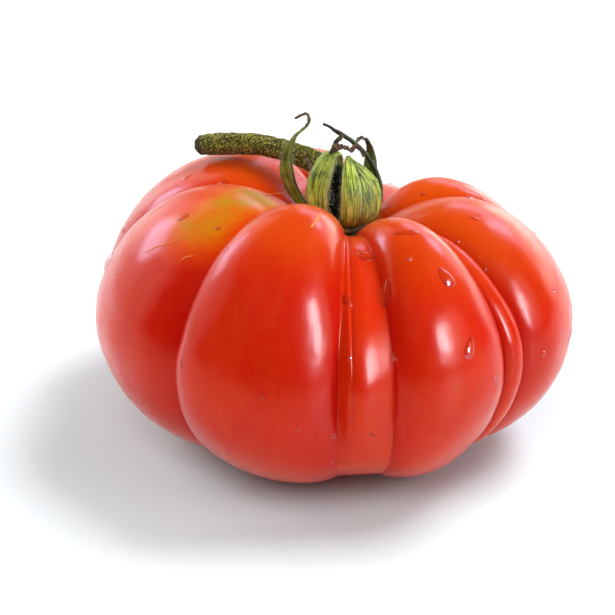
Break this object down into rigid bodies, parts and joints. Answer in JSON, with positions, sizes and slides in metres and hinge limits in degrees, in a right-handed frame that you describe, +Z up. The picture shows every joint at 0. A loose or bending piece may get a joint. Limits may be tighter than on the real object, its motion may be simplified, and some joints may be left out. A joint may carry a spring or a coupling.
{
  "type": "beefsteak tomato",
  "caption": "Squat ribbed beefsteak tomato with deep furrows, a curled dried calyx in the pit at the top and a bent stem lying over the back shoulder.",
  "frame": {"origin": "on the ground, under the middle of the whole object's bounding box", "axes": "+Z up through the fruit from its resting flats to the stem pit; -Y towards the side that shows best, where the wide lobe and the two narrow ribs meet; +X to the right of that view; the stem leans to -X and +Y"},
  "size_m": [0.1129, 0.116, 0.0799],
  "materials": {
    "fruit_skin": "smooth, waxy, ripe orange-red skin, with a little yellow and green left on one shoulder; gloss_plastic stands in for it",
    "calyx_green": "green sepals with fine veins and hairs, brown and dry at the tips; matte_plastic stands in for them",
    "stem_green": "dark olive-green stem, rough with short hairs, dark at the broken end; matte_plastic stands in for it"
  },
  "bodies": {
    "root": {"fruit": "fruit_skin", "calyx": "calyx_green", "stem": "stem_green"}
  },
  "joints": []
}
